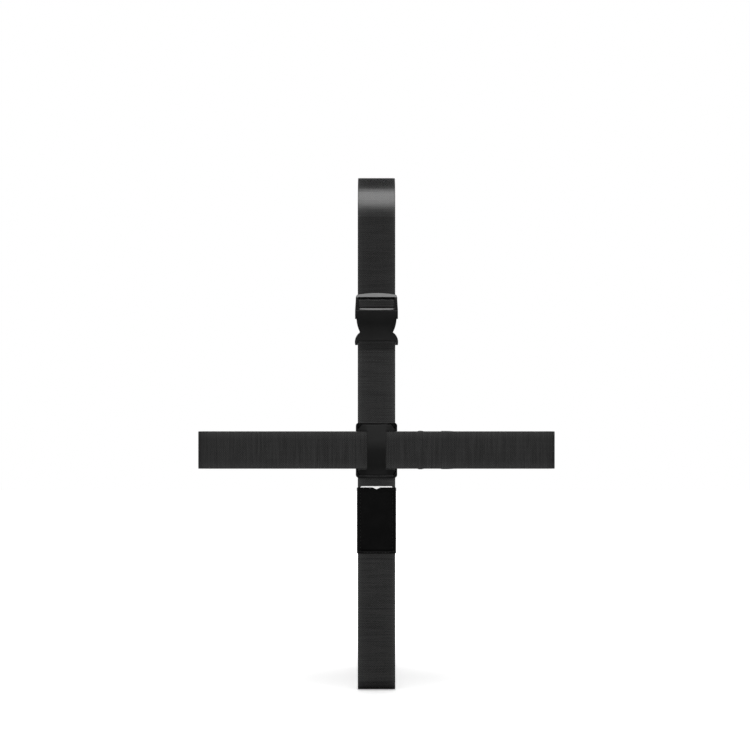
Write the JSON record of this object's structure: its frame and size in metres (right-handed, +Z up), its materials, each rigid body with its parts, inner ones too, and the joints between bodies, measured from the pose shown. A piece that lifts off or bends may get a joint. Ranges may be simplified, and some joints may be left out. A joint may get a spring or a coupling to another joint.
{
  "type": "luggage strap",
  "caption": "Cross luggage strap: an upright and a level webbing loop joined by a plastic cross connector, with side-release buckles and an address label with a card.",
  "frame": {"origin": "middle of the inner, upper face of the upright loop's bottom run", "axes": "+Z up along the upright loop, X across the front, the front with the connector and label faces -Y"},
  "size_m": [0.478, 0.3142, 0.6914],
  "materials": {
    "webbing": "woven, matt, with a slight sheen on the bends",
    "plastic": "moulded, satin",
    "sheet": "smooth coated sheet, satin",
    "card": "uncoated card",
    "thread": "twisted thread"
  },
  "bodies": {
    "vertical_loop": {"vertical_webbing": "webbing", "vertical_takeup": "webbing", "front_socket": "plastic", "front_seam": "thread", "label_backing": "webbing", "label_pocket": "sheet", "label_stitching": "thread"},
    "front_plug": {"front_plug_frame": "plastic", "vertical_tail": "webbing"},
    "front_prong_l": {"front_prong_left": "plastic"},
    "front_prong_r": {"front_prong_right": "plastic"},
    "card": {"name_card": "card"},
    "connector": {"cross_connector": "plastic"},
    "level_loop": {"horizontal_webbing": "webbing", "horizontal_takeup": "webbing", "rear_socket": "plastic", "rear_seam": "thread"},
    "rear_plug": {"rear_plug_frame": "plastic", "horizontal_tail": "webbing"},
    "rear_prong_l": {"rear_prong_left": "plastic"},
    "rear_prong_r": {"rear_prong_right": "plastic"}
  },
  "joints": [
    {"name": "front_plug_pull", "type": "slide", "parent": "vertical_loop", "child": "front_plug", "axis": [0, 0, 1], "range_m": [0, 0.06], "deforming": ["vertical_takeup", "front_prong_left", "front_prong_right"]},
    {"name": "front_left_squeeze", "type": "hinge", "parent": "front_plug", "child": "front_prong_l", "pos_m": [-0.015, -0.15035, 0.5049], "axis": [0, -1, 0], "range_deg": [0, 12]},
    {"name": "front_right_squeeze", "type": "hinge", "parent": "front_plug", "child": "front_prong_r", "pos_m": [0.015, -0.15035, 0.5049], "axis": [0, 1, 0], "range_deg": [0, 12]},
    {"name": "card_slide", "type": "slide", "parent": "vertical_loop", "child": "card", "axis": [0, 0, 1], "range_m": [0, 0.009]},
    {"name": "connector_slide", "type": "slide", "parent": "vertical_loop", "child": "connector", "axis": [0, 0, 1], "range_m": [0, 0.078]},
    {"name": "level_loop_slide", "type": "slide", "parent": "connector", "child": "level_loop", "axis": [1, 0, 0], "range_m": [-0.012, 0.012]},
    {"name": "rear_plug_pull", "type": "slide", "parent": "level_loop", "child": "rear_plug", "axis": [1, 0, 0], "range_m": [0, 0.05], "deforming": ["horizontal_takeup", "rear_prong_left", "rear_prong_right"]},
    {"name": "rear_left_squeeze", "type": "hinge", "parent": "rear_plug", "child": "rear_prong_l", "pos_m": [0.1076, 0.152, 0.3043], "axis": [0, 1, 0], "range_deg": [0, 12]},
    {"name": "rear_right_squeeze", "type": "hinge", "parent": "rear_plug", "child": "rear_prong_r", "pos_m": [0.1076, 0.152, 0.3343], "axis": [0, -1, 0], "range_deg": [0, 12]}
  ],
  "couplings": [
    {"joint": "front_right_squeeze", "follows": "front_left_squeeze", "ratio": 1},
    {"joint": "rear_right_squeeze", "follows": "rear_left_squeeze", "ratio": 1}
  ]
}
